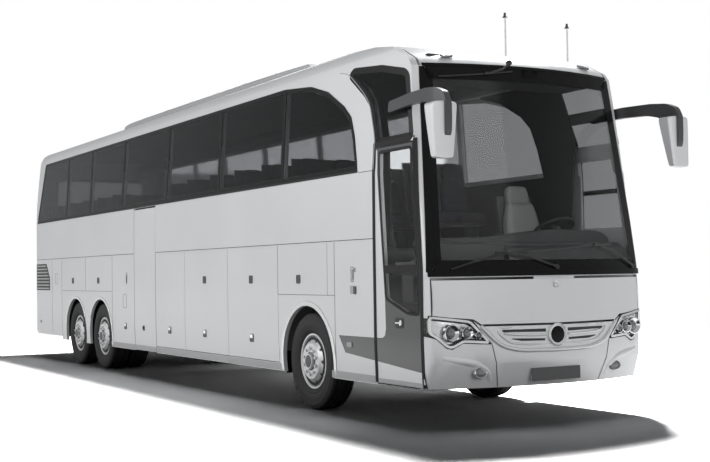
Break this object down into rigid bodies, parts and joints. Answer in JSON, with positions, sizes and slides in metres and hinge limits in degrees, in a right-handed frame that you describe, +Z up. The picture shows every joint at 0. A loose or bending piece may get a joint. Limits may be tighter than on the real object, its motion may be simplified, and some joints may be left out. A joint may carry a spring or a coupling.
{
  "type": "three-axle high-deck touring coach",
  "caption": "High-deck touring coach with free-rolling wheels, steered front axle, swinging doors, lifting luggage flaps, nose flap, engine lid, hollow cabin and luggage bay.",
  "frame": {"origin": "on the ground, midway between the tail and the foremost point of the mirrors, on the middle line", "axes": "+X to the front, +Y to the left side, +Z up"},
  "size_m": [14.28, 3.04, 4.085],
  "materials": {
    "silver_paint": "satin metallic",
    "pod_paint": "satin",
    "frame_paint": "satin",
    "engine_metal": "rough",
    "bay_panel": "brushed",
    "floor_cover": "matte",
    "tinted_glass": "gloss",
    "lamp_lens": "gloss",
    "red_lens": "gloss",
    "black_plastic": "satin",
    "seat_fabric": "woven",
    "rim_metal": "satin",
    "tyre_rubber": "matte"
  },
  "bodies": {
    "coach_body": {"front_subframe": "frame_paint", "rear_subframe": "frame_paint", "luggage_floor": "bay_panel", "bulkheads": "bay_panel", "wheel_houses": "frame_paint", "cabin_floor": "floor_cover", "driver_platform": "floor_cover", "steps": "floor_cover", "side_wall_right": "silver_paint", "side_wall_left": "silver_paint", "roof": "silver_paint", "nose_frame": "silver_paint", "rear_wall": "silver_paint", "windscreen": "tinted_glass", "side_windows_right": "tinted_glass", "side_windows_left": "tinted_glass", "rear_window": "tinted_glass", "front_bumper": "silver_paint", "grille": "silver_paint", "headlamps": "lamp_lens", "rear_bumper": "silver_paint", "tail_lamps": "red_lens", "engine": "engine_metal", "front_axle": "frame_paint", "drive_axle": "frame_paint", "tag_axle": "frame_paint", "mirror_left": "silver_paint", "mirror_right": "silver_paint", "wipers": "black_plastic", "dashboard": "black_plastic", "steering_wheel": "black_plastic", "crew_seats": "seat_fabric", "passenger_seats": "seat_fabric", "roof_pod": "pod_paint"},
    "knuckle_left": {"knuckle_left": "frame_paint"},
    "knuckle_right": {"knuckle_right": "frame_paint"},
    "wheel_front_left": {"tyre_front_left": "tyre_rubber", "rim_front_left": "rim_metal"},
    "wheel_front_right": {"tyre_front_right": "tyre_rubber", "rim_front_right": "rim_metal"},
    "wheel_drive_left": {"tyre_drive_left": "tyre_rubber", "rim_drive_left": "rim_metal"},
    "wheel_drive_right": {"tyre_drive_right": "tyre_rubber", "rim_drive_right": "rim_metal"},
    "wheel_tag_left": {"tyre_tag_left": "tyre_rubber", "rim_tag_left": "rim_metal"},
    "wheel_tag_right": {"tyre_tag_right": "tyre_rubber", "rim_tag_right": "rim_metal"},
    "flap_right_1": {"flap_right_1": "silver_paint"},
    "flap_right_2": {"flap_right_2": "silver_paint"},
    "flap_right_3": {"flap_right_3": "silver_paint"},
    "flap_left_1": {"flap_left_1": "silver_paint"},
    "flap_left_2": {"flap_left_2": "silver_paint"},
    "flap_left_3": {"flap_left_3": "silver_paint"},
    "nose_flap": {"nose_flap": "silver_paint"},
    "engine_lid": {"engine_lid": "silver_paint"},
    "front_door_arms": {"front_door_arms": "frame_paint"},
    "front_door": {"front_door": "silver_paint"},
    "mid_door_arms": {"mid_door_arms": "frame_paint"},
    "mid_door": {"mid_door": "silver_paint"}
  },
  "joints": [
    {"name": "steer_left", "type": "hinge", "parent": "coach_body", "child": "knuckle_left", "pos_m": [4.2, 0.985, 0.522], "axis": [0, 0, 1], "range_deg": [-45, 45]},
    {"name": "steer_right", "type": "hinge", "parent": "coach_body", "child": "knuckle_right", "pos_m": [4.2, -0.985, 0.522], "axis": [0, 0, 1], "range_deg": [-45, 45]},
    {"name": "roll_front_left", "type": "hinge", "parent": "knuckle_left", "child": "wheel_front_left", "pos_m": [4.2, 1.086, 0.522], "axis": [0, 1, 0], "continuous": true},
    {"name": "roll_front_right", "type": "hinge", "parent": "knuckle_right", "child": "wheel_front_right", "pos_m": [4.2, -1.086, 0.522], "axis": [0, 1, 0], "continuous": true},
    {"name": "roll_drive_left", "type": "hinge", "parent": "coach_body", "child": "wheel_drive_left", "pos_m": [-3.1, 1.086, 0.522], "axis": [0, 1, 0], "continuous": true},
    {"name": "roll_drive_right", "type": "hinge", "parent": "coach_body", "child": "wheel_drive_right", "pos_m": [-3.1, -1.086, 0.522], "axis": [0, 1, 0], "continuous": true},
    {"name": "roll_tag_left", "type": "hinge", "parent": "coach_body", "child": "wheel_tag_left", "pos_m": [-4.45, 1.086, 0.522], "axis": [0, 1, 0], "continuous": true},
    {"name": "roll_tag_right", "type": "hinge", "parent": "coach_body", "child": "wheel_tag_right", "pos_m": [-4.45, -1.086, 0.522], "axis": [0, 1, 0], "continuous": true},
    {"name": "flap_right_1_lift", "type": "hinge", "parent": "coach_body", "child": "flap_right_1", "pos_m": [0.035, -1.267, 1.786], "axis": [-1, 0, 0], "range_deg": [0, 85]},
    {"name": "flap_right_2_lift", "type": "hinge", "parent": "coach_body", "child": "flap_right_2", "pos_m": [1.325, -1.267, 1.786], "axis": [-1, 0, 0], "range_deg": [0, 85]},
    {"name": "flap_right_3_lift", "type": "hinge", "parent": "coach_body", "child": "flap_right_3", "pos_m": [2.77, -1.267, 1.786], "axis": [-1, 0, 0], "range_deg": [0, 85]},
    {"name": "flap_left_1_lift", "type": "hinge", "parent": "coach_body", "child": "flap_left_1", "pos_m": [0.035, 1.267, 1.786], "axis": [1, 0, 0], "range_deg": [0, 85]},
    {"name": "flap_left_2_lift", "type": "hinge", "parent": "coach_body", "child": "flap_left_2", "pos_m": [1.325, 1.267, 1.786], "axis": [1, 0, 0], "range_deg": [0, 85]},
    {"name": "flap_left_3_lift", "type": "hinge", "parent": "coach_body", "child": "flap_left_3", "pos_m": [2.77, 1.267, 1.786], "axis": [1, 0, 0], "range_deg": [0, 85]},
    {"name": "nose_flap_lift", "type": "hinge", "parent": "coach_body", "child": "nose_flap", "pos_m": [6.855, 0, 1.408], "axis": [0, -1, 0], "range_deg": [0, 65]},
    {"name": "engine_lid_lift", "type": "hinge", "parent": "coach_body", "child": "engine_lid", "pos_m": [-7.122, 0, 1.696], "axis": [0, 1, 0], "range_deg": [0, 80]},
    {"name": "front_door_swing", "type": "hinge", "parent": "coach_body", "child": "front_door_arms", "pos_m": [6.34, -1.16, 1], "axis": [0, 0, 1], "range_deg": [0, 130]},
    {"name": "front_door_leaf", "type": "hinge", "parent": "front_door_arms", "child": "front_door", "pos_m": [5.84, -1.16, 1], "axis": [0, 0, 1], "range_deg": [-130, 0]},
    {"name": "mid_door_swing", "type": "hinge", "parent": "coach_body", "child": "mid_door_arms", "pos_m": [-1.26, -1.16, 1], "axis": [0, 0, -1], "range_deg": [0, 130]},
    {"name": "mid_door_leaf", "type": "hinge", "parent": "mid_door_arms", "child": "mid_door", "pos_m": [-0.76, -1.16, 1], "axis": [0, 0, -1], "range_deg": [-130, 0]}
  ],
  "couplings": [
    {"joint": "steer_right", "follows": "steer_left", "ratio": 1},
    {"joint": "front_door_leaf", "follows": "front_door_swing", "ratio": -1},
    {"joint": "mid_door_leaf", "follows": "mid_door_swing", "ratio": -1}
  ]
}
